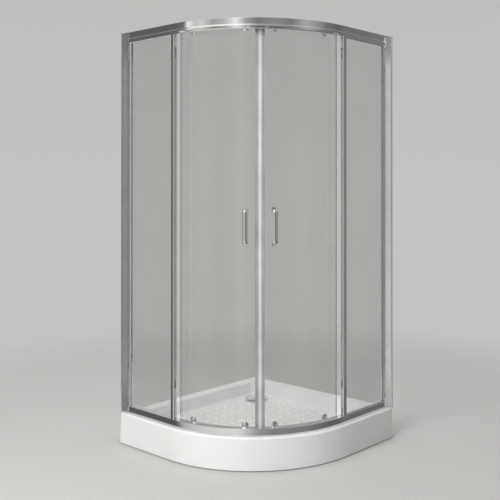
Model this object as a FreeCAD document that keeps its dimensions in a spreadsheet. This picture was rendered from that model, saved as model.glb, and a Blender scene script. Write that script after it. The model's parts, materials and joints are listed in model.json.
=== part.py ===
import FreeCAD, Part
import math
import os
import Sketcher

# Corner shower enclosure: quadrant tray, two framed fixed panels and two curved sliding doors.
# Millimetres, +Z up, origin on the floor under the middle of the tray. The room's corner is at -X +Y,
# the walls are the planes x = -half and y = +half, and the curved front faces +X -Y.
# An "inset" is measured inwards from the tray's front outline, square to it.

SIZES = {
    # whole enclosure
    "tray_side": 900.0,          # along each wall
    "corner_radius": 550.0,      # of the tray's front outline
    "total_height": 1900.0,      # floor to the top of the frame
    "tray_height": 140.0,
    "overrun": 2.0,              # how far a cutting tool stands past what it cuts
    # tray shell
    "apron_draft": 5.0,          # the apron's foot stands this far outside its rim
    "apron_gap": 4.0,            # daylight under the apron
    "shell_wall": 5.0,
    "front_rim": 92.0,
    "wall_rim": 58.0,
    "basin_depth": 55.0,
    "basin_run": 26.0,           # run of the basin's sloping sides
    "basin_corner": 62.0,
    "rim_rounding": 9.0,
    "mouth_rounding": 5.0,       # where the rim turns down into the basin
    "basin_rounding": 14.0,      # where the basin's sides meet its floor
    "wall_lip": 34.0,            # depth of the rim's turned-down edge along the walls
    # board, bars and feet under the tray
    "board_thickness": 12.0,
    "board_front": 60.0,         # board edge from the front outline
    "board_walls": 34.0,         # and from the walls
    "bar_size": 25.0,
    "bar_wall": 2.0,
    "bar_setback": 46.0,         # bar ends from the side wall
    "bar_front_line": 150.0,     # front bar's centre line, from the tray's front outline
    "bar_back_line": 62.0,       # back bar's centre line, from the back wall
    "bar_front_end": 121.0,      # free bar ends inside the tray's front outline
    "bar_middle_end": 90.0,
    "bar_back_end": 54.0,
    "foot_setback": 34.0,        # feet from the bar ends
    "stud_radius": 6.0,
    "stud_embed": 16.0,          # length inside the bar
    "nut_radius": 10.5,
    "nut_height": 9.0,
    "pad_radius": 23.0,
    "pad_height": 13.0,
    "pad_neck": 10.0,
    "pad_socket": 8.0,
    # waste
    "waste_inset": 170.0,        # waste centre from each wall
    "waste_bore": 44.5,
    "waste_gasket": 1.5,
    "gasket_margin": 1.0,        # upper gasket inside the flange's edge
    "flange_radius": 55.0,
    "flange_thickness": 2.0,
    "neck_radius": 43.0,
    "neck_wall": 3.0,
    "neck_length": 32.0,
    "insert_shelf": 2.5,
    "insert_drop": 6.5,          # insert rim below the flange's face
    "insert_wall": 3.0,
    "insert_length": 56.0,
    "insert_play": 0.3,
    "trap_radius": 50.0,
    "trap_wall": 3.0,
    "trap_lift": 8.0,            # trap above the floor
    "trap_collar": 4.5,
    "collar_reach": 4.0,
    "spigot_radius": 20.0,
    "spigot_wall": 2.5,
    "spigot_rise": 26.0,         # spigot axis above the trap's bottom
    "spigot_length": 42.0,
    "spigot_boss": 8.0,          # boss at the spigot's root, past the trap's side
    "spigot_boss_radius": 24.0,
    "spigot_groove": 2.0,
    "spigot_groove_depth": 1.0,
    "cover_radius": 57.0,
    "cover_edge": 1.6,
    "cover_dome": 4.2,
    "cover_leg": 4.0,
    "cover_leg_radius": 4.0,
    "cover_leg_circle": 47.0,
    "board_hole": 60.0,
    # rails
    "rail_inset": 25.0,          # frame's outer face from the tray's outline
    "rail_wall": 2.5,
    "rail_rounding": 2.0,
    "rail_end_gap": 0.5,         # rail end to wall channel
    "ledge_width": 26.0,         # wheel ledge, inside the glazing slot
    "ledge_lip": 3.0,
    "lip_wall": 2.0,
    "bottom_rail_height": 31.0,
    "bottom_ledge": 5.5,         # bottom ledge above the tray's rim
    "cover_width": 22.0,         # bottom rail's cover over the wheels
    "top_rail_height": 48.0,
    "top_ledge": 19.6,           # top ledge above the rail's lower edge
    "top_roof": 34.0,            # top wall past the glazing slot
    "bead_height": 20.0,         # rounded lower band of the top rail's face
    "bead_radius": 26.0,
    # fixed panels
    "glass": 5.0,
    "seal_lip": 1.5,             # glazing seal each side of the glass
    "seal_show": 4.0,            # and past the frame
    "glass_grip": 10.0,
    "glass_foot": 2.0,
    "glass_head": 20.0,
    "plug_room": 4.5,
    "plug_reach": 25.0,
    "plug_play": 0.1,
    "channel_depth": 18.0,
    "channel_wall": 2.0,
    "channel_base": 2.5,
    "channel_play": 0.3,
    "channel_cap": 3.0,
    "wall_hole": 3.0,            # radius
    "wall_hole_end": 98.5,       # outer holes from the channel's ends
    "wing_reach": 21.0,          # the channel's wing along the wall, out to the tray's edge
    "wing_wall": 1.8,
    "wing_nose": 4.0,
    "stile_back": 6.0,
    "stile_reach": 37.0,
    "frame_depth": 20.0,
    "frame_wall": 2.2,
    "frame_rounding": 2.0,
    "post_set": 22.0,            # post's far side from the bend's start
    "post_width": 19.0,
    "post_rounding": 5.0,
    "bulb_width": 8.0,
    "bulb_base": 1.5,
    "bulb_radius": 5.0,
    "infill_height": 10.0,
    "screw_place": 12.0,         # adjusting screws from the wall
    "screw_end": 258.5,          # and from the channel's ends
    "screw_radius": 1.9,
    "screw_length": 11.0,
    "screw_head": 4.0,
    "screw_head_height": 2.4,
    "screw_hole_play": 0.3,
    "cap_wall": 1.2,
    # sliding doors
    "track_inset": 50.0,         # middle of the wheels
    "door_inset": 73.5,          # outer face of the door glass
    "door_foot": 18.5,           # door glass above the tray's rim
    "door_head": 22.5,           # door glass below the top of the frame
    "door_lap": 16.0,            # door glass past the bend's start
    "meeting_gap": 0.3,          # each meeting seal from the middle
    "meeting_grip": 10.0,
    "meeting_width": 20.0,
    "meeting_thickness": 11.0,
    "magnet_width": 3.5,
    "magnet_thickness": 5.0,
    "magnet_cover": 1.5,
    "trailing_width": 13.0,
    "trailing_wall": 1.6,
    "trailing_fin": 1.8,
    "trailing_tip": 51.5,        # inset of the fin's tip
    "trailing_play": 2.0,        # clear of the rails
    "axis_back": 32.0,           # turning axis of a door from the bend's centre, along its own wall
    "axis_in": 63.0,             # and square to it
    "open_angle": 22.0,
    "diagonal_angle": 45.0,
    "outer_roller_angle": 37.0,  # from the diagonal
    "inner_roller_angle": 7.6,
    "wheel_width": 6.0,
    "top_wheel_radius": 11.0,
    "bottom_wheel_radius": 7.8,
    "wheel_rounding": 0.8,
    "wheel_lift": 0.3,           # wheel above its ledge
    "wheel_play": 0.3,
    "axle_radius": 3.0,
    "axle_play": 0.05,
    "axle_collar": 5.0,
    "axle_collar_width": 1.6,
    "axle_head": 5.2,
    "axle_head_width": 1.2,
    "top_hub": 13.0,             # hub centres from the ends of the door glass
    "bottom_hub": 14.0,
    "hub_radius": 4.0,
    "hub_hole": 5.0,
    "hub_cap_radius": 15.0,
    "hub_cap_height": 4.5,
    "hub_cap_edge": 1.2,
    "hub_washer": 0.5,           # bracket to the glass
    "curve_play": 0.1,           # flat washers stand this far off the curved glass
    "hub_washer_radius": 9.0,
    "hub_nut_radius": 9.0,
    "hub_nut_height": 6.0,
    "hub_nut_wall": 2.0,
    "bracket_thickness": 3.0,
    "bracket_width": 18.0,
    "stop_length": 12.0,
    "stop_height": 12.0,
    "stop_gap": 0.5,
    # handles
    "handle_angle": 7.2,
    "handle_height": 1017.0,     # floor to the handle's middle
    "handle_span": 144.0,        # between its legs
    "handle_reach": 36.0,        # glass to the bar's middle line
    "handle_bend": 13.0,
    "handle_width": 22.0,
    "handle_thickness": 10.0,
    "handle_bolt": 2.5,
    "handle_bolt_depth": 12.0,
    "handle_hole": 4.0,
    "handle_washer": 1.5,
    "handle_washer_radius": 9.5,
    "handle_knob_radius": 8.0,
    "handle_knob_height": 5.0,
}

LEFT = 1
RIGHT = -1
UP = 1
DOWN = -1
NEAR = 1e-4  # the modeller's own precision

doc = FreeCAD.newDocument("corner_shower_enclosure")
sheet = doc.addObject("Spreadsheet::Sheet", "Sizes")
for row, (alias, number) in enumerate(SIZES.items(), 1):
    sheet.set(f"A{row}", alias.replace("_", " "))
    sheet.set(f"B{row}", str(number))
    sheet.setAlias(f"B{row}", alias)
doc.recompute()


class Size:
    """A number together with the expression on the sheet that gives it."""

    def __init__(self, number, text):
        self.number = number
        self.text = text

    def __add__(self, other):
        other = as_size(other)
        return Size(self.number + other.number, f"({self.text} + {other.text})")

    def __sub__(self, other):
        other = as_size(other)
        return Size(self.number - other.number, f"({self.text} - {other.text})")

    def __mul__(self, other):
        other = as_size(other)
        return Size(self.number * other.number, f"({self.text} * {other.text})")

    def __truediv__(self, other):
        other = as_size(other)
        return Size(self.number / other.number, f"({self.text} / {other.text})")

    def __neg__(self):
        return Size(-self.number, f"(-{self.text})")


def as_size(value):
    """A plain count, ratio or zero as a Size."""
    return value if isinstance(value, Size) else Size(float(value), f"({value})")


def sine(angle):
    return Size(math.sin(math.radians(angle.number)), f"sin({angle.text})")


def cosine(angle):
    return Size(math.cos(math.radians(angle.number)), f"cos({angle.text})")


def root(square):
    return Size(math.sqrt(square.number), f"sqrt({square.text})")


ZERO = as_size(0)
FULL_TURN = as_size(360)
S = {alias: Size(number, f"Sizes.{alias}") for alias, number in SIZES.items()}

# Derived places
half = S["tray_side"] / 2
straight = S["tray_side"] - S["corner_radius"]
bend_x = straight - half
bend_y = half - straight
rim = S["tray_height"]
roof = S["total_height"]
floor_level = rim - S["basin_depth"]
floor_under = floor_level - S["shell_wall"]

face = S["rail_inset"]
slot_out = face + S["rail_wall"]
slot_in = slot_out + S["glass"] + S["seal_lip"] * 2
rib_in = slot_in + S["rail_wall"]
ledge_in = rib_in + S["ledge_width"]
frame_in = face + S["frame_depth"]
bottom_rail_top = rim + S["bottom_rail_height"]
bottom_ledge = rim + S["bottom_ledge"]
top_rail_foot = roof - S["top_rail_height"]
top_ledge = top_rail_foot + S["top_ledge"]

post_far = straight - S["post_set"]
post_near = post_far + S["post_width"]
slot_depth = S["glass_grip"] + S["seal_lip"] + S["plug_room"]
glass_start = S["stile_reach"] - S["glass_grip"]
glass_end = post_far + S["glass_grip"]
glass_foot = bottom_ledge + S["glass_foot"]
glass_head = top_rail_foot + S["glass_head"]
rail_start = S["channel_depth"] + S["rail_end_gap"]

track_radius = S["corner_radius"] - S["track_inset"]
door_outer = S["corner_radius"] - S["door_inset"]
door_inner = door_outer - S["glass"]
door_low = rim + S["door_foot"]
door_high = roof - S["door_head"]
bracket_outer = door_inner - S["hub_washer"]
bracket_inner = bracket_outer - S["bracket_thickness"]
wheel_outer = track_radius + S["wheel_width"] / 2
wheel_inner = track_radius - S["wheel_width"] / 2
top_axle = top_ledge + S["wheel_lift"] + S["top_wheel_radius"]
bottom_axle = bottom_ledge + S["wheel_lift"] + S["bottom_wheel_radius"]

nodes = []


def vector(corner):
    return FreeCAD.Vector(corner[0].number, corner[1].number, 0)


def arc_between(here, there, radius, way):
    """Arc shorter than a half circle; way is LEFT for counter-clockwise."""
    chord = there - here
    reach = math.sqrt(max(radius ** 2 - (chord.Length / 2) ** 2, 0))
    side = FreeCAD.Vector(-chord.y, chord.x, 0).normalize() * (reach * way)
    centre = (here + there) * 0.5 + side
    ends = (here, there) if way == LEFT else (there, here)
    first, last = (math.atan2((p - centre).y, (p - centre).x) for p in ends)
    if last < first:
        last += 2 * math.pi
    return Part.ArcOfCircle(Part.Circle(centre, FreeCAD.Vector(0, 0, 1), radius), first, last)


def dimension(sketch, kind, *where, size):
    place_in_list = sketch.addConstraint(Sketcher.Constraint(kind, *where, size.number))
    sketch.setExpression(f"Constraints[{place_in_list}]", size.text)


def pin_point(sketch, geometry, point, x, y):
    """Fixes a point of the sketch at x, y from its origin."""
    for value, axis, kind in ((x, -2, "DistanceX"), (y, -1, "DistanceY")):
        if value is ZERO:
            sketch.addConstraint(Sketcher.Constraint("PointOnObject", geometry, point, axis))
        else:
            dimension(sketch, kind, -1, 1, geometry, point, size=value)


def draw(sketch, corners, closed=True):
    """Outline through corners (x, y), or (x, y, radius, way) where an arc leads on to the next corner."""
    first = sketch.GeometryCount
    runs = len(corners) if closed else len(corners) - 1
    ends = []
    for i in range(runs):
        corner = corners[i]
        here, there = vector(corner), vector(corners[(i + 1) % len(corners)])
        if len(corner) == 2:
            sketch.addGeometry(Part.LineSegment(here, there), False)
            ends.append((1, 2))
        else:
            sketch.addGeometry(arc_between(here, there, corner[2].number, corner[3]), False)
            ends.append((1, 2) if corner[3] == LEFT else (2, 1))
    for i in range(runs if closed else runs - 1):
        following = (i + 1) % runs
        sketch.addConstraint(
            Sketcher.Constraint("Coincident", first + i, ends[i][1], first + following, ends[following][0])
        )
    for i in range(runs):
        pin_point(sketch, first + i, ends[i][0], corners[i][0], corners[i][1])
        if len(corners[i]) > 2:
            dimension(sketch, "Radius", first + i, size=corners[i][2])
    if not closed:
        pin_point(sketch, first + runs - 1, ends[-1][1], corners[-1][0], corners[-1][1])


def draw_circle(sketch, x, y, radius):
    circle = Part.Circle(FreeCAD.Vector(x.number, y.number, 0), FreeCAD.Vector(0, 0, 1), radius.number)
    number = sketch.addGeometry(circle, False)
    pin_point(sketch, number, 3, x, y)
    dimension(sketch, "Radius", number, size=radius)


def box_loop(x0, y0, x1, y1):
    return [(x0, y0), (x1, y0), (x1, y1), (x0, y1)]


def new_body(label):
    body = doc.addObject("PartDesign::Body", label)
    body.Label = label
    return body


def new_sketch(body, name, role, height=None):
    plane = next(feature for feature in body.Origin.OriginFeatures if feature.Role == role)
    sketch = body.newObject("Sketcher::SketchObject", f"{body.Label}_{name}")
    sketch.AttachmentSupport = [(plane, "")]
    sketch.MapMode = "FlatFace"
    if height is not None:
        sketch.AttachmentOffset = FreeCAD.Placement(FreeCAD.Vector(0, 0, height.number), FreeCAD.Rotation())
        sketch.setExpression("AttachmentOffset.Base.z", height.text)
    return sketch


def place(item, x=ZERO, y=ZERO, z=ZERO, turn=None):
    for axis, value in zip("xyz", (x, y, z)):
        if value is not ZERO:
            item.setExpression(f"Placement.Base.{axis}", value.text)
    if turn is not None:
        item.setExpression("Placement.Rotation.Angle", turn.text)
    return item


def place_left(item):
    """Puts a piece drawn from the left wall and the front outline in its place."""
    return place(item, -half, -half)


def place_polar(item, radius, angle, z=ZERO):
    """Local x points outwards from the bend's centre, angle degrees left of the diagonal."""
    turn = -(S["diagonal_angle"] + angle)
    return place(item, bend_x + radius * cosine(turn), bend_y + radius * sine(turn), z, turn)


def node(item, label=None):
    """Marks an item as a piece of its own, written to a file of that name."""
    if label is not None:
        item.Label = label
    nodes.append(item)
    return item


def extrude(label, loops, low, high):
    """Upright piece of constant plan."""
    body = new_body(label)
    sketch = new_sketch(body, "plan", "XY_Plane", low)
    for loop in loops:
        draw(sketch, loop)
    pad = body.newObject("PartDesign::Pad", f"{label}_pad")
    pad.Profile = sketch
    pad.setExpression("Length", (high - low).text)
    return body


def plate(label, loops, circles, thickness):
    """Plate square to local x, drawn in y and z, with round holes."""
    body = new_body(label)
    sketch = new_sketch(body, "plan", "YZ_Plane")
    for loop in loops:
        draw(sketch, loop)
    for circle in circles:
        draw_circle(sketch, *circle)
    pad = body.newObject("PartDesign::Pad", f"{label}_pad")
    pad.Profile = sketch
    pad.setExpression("Length", thickness.text)
    return body


def peg(label, radius, length):
    """Round bar along local x."""
    return plate(label, [], [(ZERO, ZERO, radius)], length)


def turned(label, loop, axis="V_Axis", angle=None):
    """Piece turned from a half section in local x and z."""
    body = new_body(label)
    sketch = new_sketch(body, "section", "XZ_Plane")
    draw(sketch, loop)
    revolution = body.newObject("PartDesign::Revolution", f"{label}_revolution")
    revolution.Profile = sketch
    revolution.ReferenceAxis = (sketch, [axis])
    if angle is not None:
        revolution.setExpression("Angle", angle.text)
    return body


def loft(label, low_loop, low, high_loop, high):
    """Straight-sided form between two plans."""
    body = new_body(label)
    first = new_sketch(body, "low", "XY_Plane", low)
    draw(first, low_loop)
    second = new_sketch(body, "high", "XY_Plane", high)
    draw(second, high_loop)
    form = body.newObject("PartDesign::AdditiveLoft", f"{label}_loft")
    form.Profile = first
    form.Sections = [second]
    form.Ruled = True
    return body


def pipe(label, section, section_role, section_offset, path, path_role):
    """A section carried along a path of straights and arcs."""
    body = new_body(label)
    spine = new_sketch(body, "path", path_role)
    draw(spine, path, closed=False)
    profile = new_sketch(body, "section", section_role, section_offset)
    draw(profile, section)
    doc.recompute()
    form = body.newObject("PartDesign::AdditivePipe", f"{label}_pipe")
    form.Profile = profile
    form.Spine = (spine, [f"Edge{i}" for i in range(1, len(path))])
    return body


def box(label, x, y, z, length, width, height):
    item = doc.addObject("Part::Box", label)
    item.setExpression("Length", length.text)
    item.setExpression("Width", width.text)
    item.setExpression("Height", height.text)
    return place(item, x, y, z)


def cylinder(label, radius, length, x, y, z, axis="z"):
    item = doc.addObject("Part::Cylinder", label)
    item.setExpression("Radius", radius.text)
    item.setExpression("Height", length.text)
    quarter = {"x": (FreeCAD.Vector(0, 1, 0), 90), "y": (FreeCAD.Vector(1, 0, 0), -90)}
    if axis in quarter:
        item.Placement = FreeCAD.Placement(FreeCAD.Vector(), FreeCAD.Rotation(*quarter[axis]))
    return place(item, x, y, z)


def cut(label, base, tool):
    item = doc.addObject("Part::Cut", label)
    item.Base = base
    item.Tool = tool
    return item


def fuse(label, *items):
    item = doc.addObject("Part::MultiFuse", label)
    item.Shapes = list(items)
    return item


def group(label, items):
    """Separate solids that share a name."""
    item = doc.addObject("Part::Compound", label)
    item.Links = list(items)
    return item


def mirror(source, label):
    """The right-hand twin of a left-hand piece, across the upright plane through the diagonal."""
    item = doc.addObject("Part::Mirroring", label)
    item.Source = source
    item.Normal = FreeCAD.Vector(1, 1, 0)
    item.Label = label
    return item


def pair(item, name):
    """Names the left-hand piece and adds its right-hand twin."""
    node(item, f"{name}_left")
    node(mirror(item, f"{name}_right"))


def tray_plan(front, walls, corner=None):
    """Quadrant outline at these insets from the front outline and the walls, with its corners rounded."""
    west, east = walls - half, half - front
    south, north = front - half, half - walls
    radius = S["corner_radius"] - front
    if corner is None:
        return [(west, south), (bend_x, south, radius, LEFT), (east, bend_y), (east, north), (west, north)]
    return [
        (west + corner, south),
        (bend_x, south, radius, LEFT),
        (east, bend_y),
        (east, north - corner, corner, LEFT),
        (east - corner, north),
        (west + corner, north, corner, LEFT),
        (west, north - corner),
        (west, south + corner, corner, LEFT),
    ]


def same(first, second):
    return math.isclose(first, second, abs_tol=NEAR)


def level_edge(edge, z):
    return all(same(vertex.Point.z, z.number) for vertex in edge.Vertexes)


def on_wall(point):
    return same(point.x, -half.number) or same(point.y, half.number)


def middle_of(edge):
    return edge.valueAt((edge.FirstParameter + edge.LastParameter) / 2)


def at_mouth(edge):
    """Whether an edge lies well inside the rim, on the basin's side of it."""
    point = middle_of(edge)
    x, y = point.x - bend_x.number, bend_y.number - point.y
    from_front = S["corner_radius"].number - (math.hypot(x, y) if min(x, y) > 0 else max(x, y))
    from_walls = min(point.x + half.number, half.number - point.y)
    return from_front > S["front_rim"].number / 2 and from_walls > S["wall_rim"].number / 2


def rounded(body, radius, wanted):
    """Rounds the edges of a body that the test picks."""
    doc.recompute()
    base = body.Tip
    picked = [f"Edge{i}" for i, edge in enumerate(base.Shape.Edges, 1) if wanted(edge)]
    fillet = body.newObject("PartDesign::Fillet", f"{body.Label}_rounding")
    fillet.Base = (base, picked)
    fillet.setExpression("Radius", radius.text)
    return body


def leaning(label, plan, low, high, run, keeps, wanted):
    """A block that keeps its plan at its UP or DOWN end; the sides picked lean in by the run."""
    body = extrude(label, [plan], low, high)
    doc.recompute()
    pad = body.Tip
    level = 0.5
    sides, kept = [], None
    for i, side in enumerate(pad.Shape.Faces, 1):
        normal = side.normalAt(0, 0)
        if abs(normal.z) < level and wanted(side):
            sides.append(f"Face{i}")
        if normal.z * keeps > level:
            kept = f"Face{i}"
    draft = body.newObject("PartDesign::Draft", f"{label}_draft")
    draft.Base = (pad, sides)
    draft.NeutralPlane = (pad, [kept])
    draft.setExpression("Angle", f"atan({(run / (high - low)).text})")
    doc.recompute()
    if draft.Shape.Volume > pad.Shape.Volume:
        draft.Reversed = True
    return body


def basin_block(label, grown, low, high, rounding):
    """The basin's form, grown all round by a skin or by nothing, with its lower edge rounded."""
    mouth = tray_plan(S["front_rim"] - grown, S["wall_rim"] - grown, S["basin_corner"] + grown)
    body = leaning(label, mouth, low, high, S["basin_run"], UP, lambda side: True)
    return rounded(body, rounding, lambda edge: level_edge(edge, low))


def tray():
    """One vacuum-formed sheet: apron, rim and basin, open underneath and along the walls."""
    skin = S["shell_wall"]
    outer = leaning(
        "tray_outer", tray_plan(ZERO, ZERO), S["apron_gap"], rim, S["apron_draft"], DOWN,
        lambda side: not on_wall(side.CenterOfMass),
    )
    rounded(
        outer, S["rim_rounding"], lambda edge: level_edge(edge, rim) and not on_wall(middle_of(edge))
    )
    basin = basin_block("tray_basin", ZERO, floor_level, rim, S["basin_rounding"])
    basin_skin = basin_block("tray_basin_skin", skin, floor_under, rim - skin, S["basin_rounding"] + skin)
    inside = loft(
        "tray_inside",
        tray_plan(skin, skin),
        S["apron_gap"] - S["overrun"],
        tray_plan(S["apron_draft"] + skin, skin),
        rim - skin,
    )
    hollow = cut("tray_hollow", inside, basin_skin)
    lip = rim - S["wall_lip"]
    side_gap = box("tray_side_gap", -half - skin, skin - half, ZERO, skin * 3, S["tray_side"], lip)
    back_gap = box("tray_back_gap", -half - skin, half - skin * 2, ZERO, S["tray_side"], skin * 3, lip)
    hole = cylinder("tray_waste_hole", S["waste_bore"], rim, waste_x, waste_y, ZERO)
    sheet_form = cut("tray_sheet", outer, fuse("tray_cutter", basin, hollow, side_gap, back_gap, hole))
    shell = new_body("tray_shell")
    shell.BaseFeature = sheet_form
    node(rounded(shell, S["mouth_rounding"], lambda edge: level_edge(edge, rim) and at_mouth(edge)))


waste_x = S["waste_inset"] - half
waste_y = half - S["waste_inset"]


def board():
    """Stiffening board under the basin's floor."""
    low = floor_under - S["board_thickness"]
    plan = tray_plan(S["board_front"], S["board_walls"], S["basin_corner"])
    blank = extrude("board_blank", [plan], low, floor_under)
    hole = cylinder("board_opening", S["board_hole"], rim, waste_x, waste_y, ZERO)
    node(cut("tray_baseboard", blank, hole))


def front_edge(y):
    """Where the tray's rounded corner stands at this y."""
    drop = bend_y - y
    return bend_x + root(S["corner_radius"] * S["corner_radius"] - drop * drop)


def feet():
    """Three square bars under the board, each on two levelling feet."""
    top = floor_under - S["board_thickness"]
    low = top - S["bar_size"]
    front_y, back_y = S["bar_front_line"] - half, half - S["bar_back_line"]
    middle_y = (front_y + back_y) / 2
    lines = (
        ("front", front_y, front_edge(front_y) - S["bar_front_end"]),
        ("middle", middle_y, front_edge(middle_y) - S["bar_middle_end"]),
        ("back", back_y, half - S["bar_back_end"]),
    )
    bars, studs, nuts, pads = [], [], [], []
    wall = S["bar_wall"]
    size = S["bar_size"]
    for name, y, free_end in lines:
        x = S["bar_setback"] - half
        length = free_end - x
        outer = box(f"bar_{name}_outer", x, y - size / 2, low, length, size, size)
        inner = box(
            f"bar_{name}_inner", x - S["overrun"], y - size / 2 + wall, low + wall,
            length + S["overrun"] * 2, size - wall * 2, size - wall * 2,
        )
        tools = [inner]
        for end, foot_x in (("left", x + S["foot_setback"]), ("right", x + length - S["foot_setback"])):
            where = f"{name}_{end}"
            drill = low - S["overrun"]
            tools.append(cylinder(f"bar_hole_{where}", S["stud_radius"], size / 2, foot_x, y, drill))
            foot = S["pad_height"] - S["pad_socket"]
            studs.append(
                cylinder(f"stud_{where}", S["stud_radius"], low + S["stud_embed"] - foot, foot_x, y, foot)
            )
            nuts.append(nut(f"nut_{where}", foot_x, y, low - S["nut_height"]))
            pads.append(foot_pad(f"pad_{where}", foot_x, y))
        bars.append(cut(f"bar_{name}", outer, fuse(f"bar_{name}_tools", *tools)))
    node(group("support_bars", bars))
    node(group("levelling_studs", studs))
    node(group("stud_nuts", nuts))
    node(group("foot_pads", pads))


def nut(label, x, y, z):
    blank = doc.addObject("Part::Prism", f"{label}_blank")
    blank.Polygon = 6
    blank.setExpression("Circumradius", S["nut_radius"].text)
    blank.setExpression("Height", S["nut_height"].text)
    place(blank, x, y, z)
    return cut(label, blank, cylinder(f"{label}_bore", S["stud_radius"], S["nut_height"], x, y, z))


def foot_pad(label, x, y):
    neck = S["pad_height"] - S["pad_socket"]
    loop = [
        (ZERO, ZERO),
        (S["pad_radius"], ZERO),
        (S["pad_radius"], neck / 2),
        (S["pad_neck"], S["pad_height"]),
        (S["stud_radius"], S["pad_height"]),
        (S["stud_radius"], neck),
        (ZERO, neck),
    ]
    return place(turned(label, loop), x, y)


def waste():
    """Flange clamped to the basin's floor by the trap below it, with a dip insert and a domed cover."""
    seat = floor_level + S["waste_gasket"]
    flange_top = seat + S["flange_thickness"]
    neck_out, neck_in = S["neck_radius"], S["neck_radius"] - S["neck_wall"]
    neck_foot = flange_top - S["neck_length"]
    shelf_in = neck_in - S["insert_shelf"]
    shelf_top = flange_top - S["insert_drop"]
    upper = turned(
        "gasket_upper",
        box_loop(S["waste_bore"], floor_level, S["flange_radius"] - S["gasket_margin"], seat),
    )
    collar_out = S["trap_radius"] + S["collar_reach"]
    collar_top = floor_under - S["waste_gasket"]
    lower = turned("gasket_lower", box_loop(S["waste_bore"], collar_top, collar_out, floor_under))
    node(group("waste_gaskets", [place(item, waste_x, waste_y) for item in (upper, lower)]))

    flange = [
        (neck_in, neck_foot),
        (neck_out, neck_foot),
        (neck_out, seat),
        (S["flange_radius"], seat),
        (S["flange_radius"], flange_top),
        (neck_in, flange_top),
        (neck_in, shelf_top),
        (shelf_in, shelf_top),
        (shelf_in, shelf_top - S["flange_thickness"]),
        (neck_in, shelf_top - S["flange_thickness"]),
    ]
    node(place(turned("waste_flange", flange), waste_x, waste_y))

    tube_out = shelf_in - S["insert_play"]
    tube_in = tube_out - S["insert_wall"]
    rim_out = neck_in - S["insert_play"]
    rim_top = shelf_top + S["flange_thickness"]
    tube_foot = rim_top - S["insert_length"]
    insert = [
        (tube_in, tube_foot),
        (tube_out, tube_foot),
        (tube_out, shelf_top),
        (rim_out, shelf_top),
        (rim_out, rim_top),
        (tube_in, rim_top),
    ]
    node(place(turned("trap_insert", insert), waste_x, waste_y))

    bottom = S["trap_lift"]
    radius, wall = S["trap_radius"], S["trap_wall"]
    cup_outer = [
        (ZERO, bottom),
        (radius, bottom),
        (radius, collar_top - S["trap_collar"]),
        (collar_out, collar_top - S["trap_collar"]),
        (collar_out, collar_top),
        (ZERO, collar_top),
    ]
    cup_inner = [
        (ZERO, bottom + wall),
        (radius - wall, bottom + wall),
        (radius - wall, neck_foot),
        (neck_out, neck_foot),
        (neck_out, collar_top),
        (ZERO, collar_top),
    ]
    spigot_reach = radius + S["spigot_length"]
    axis = bottom + S["spigot_rise"]
    spigot_x = waste_x - spigot_reach
    spigot_out, boss_reach = S["spigot_radius"], radius + S["spigot_boss"]
    spigot_bore = spigot_out - S["spigot_wall"]
    groove = spigot_out - S["spigot_groove_depth"]
    socket = S["spigot_length"] - S["spigot_boss"] - S["spigot_groove"]
    boss_x = waste_x - boss_reach
    solid = fuse(
        "trap_solid",
        place(turned("trap_cup", cup_outer), waste_x, waste_y),
        cylinder("trap_spigot_root", groove, spigot_reach, spigot_x, waste_y, axis, "x"),
        cylinder("trap_spigot", spigot_out, socket, spigot_x, waste_y, axis, "x"),
        cylinder("trap_boss", S["spigot_boss_radius"], boss_reach, boss_x, waste_y, axis, "x"),
    )
    space = fuse(
        "trap_space",
        place(turned("trap_cavity", cup_inner), waste_x, waste_y),
        cylinder("trap_outlet", spigot_bore, spigot_reach, spigot_x, waste_y, axis, "x"),
    )
    node(cut("trap_body", solid, space))

    under = flange_top + S["cover_leg"]
    edge_top = under + S["cover_edge"]
    reach = S["cover_radius"]
    dome = S["cover_dome"]
    sphere = (reach * reach + dome * dome) / (dome * 2)
    lid = [(ZERO, under), (reach, under), (reach, edge_top, sphere, LEFT), (ZERO, edge_top + dome)]
    pieces = [place(turned("cover_dome", lid), waste_x, waste_y)]
    leg_shares = (0, 1 / 3, 2 / 3)
    for i, share in enumerate(leg_shares, 1):
        angle = FULL_TURN * share
        pieces.append(
            cylinder(
                f"cover_leg_{i}", S["cover_leg_radius"], S["cover_leg"] + S["cover_edge"] / 2,
                waste_x + S["cover_leg_circle"] * cosine(angle),
                waste_y + S["cover_leg_circle"] * sine(angle), flange_top,
            )
        )
    node(fuse("waste_cover", *pieces))


def rail_path():
    """The frame's outer face in plan, from one wall channel to the other."""
    return [
        (rail_start - half, face - half),
        (bend_x, face - half, S["corner_radius"] - face, LEFT),
        (half - face, bend_y),
        (half - face, half - rail_start),
    ]


def rail(label, section):
    """A section in inset and height, carried along the front."""
    world = [(corner[0] - half, *corner[1:]) for corner in section]
    node(pipe(label, world, "YZ_Plane", rail_start - half, rail_path(), "XY_Plane"))


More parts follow.
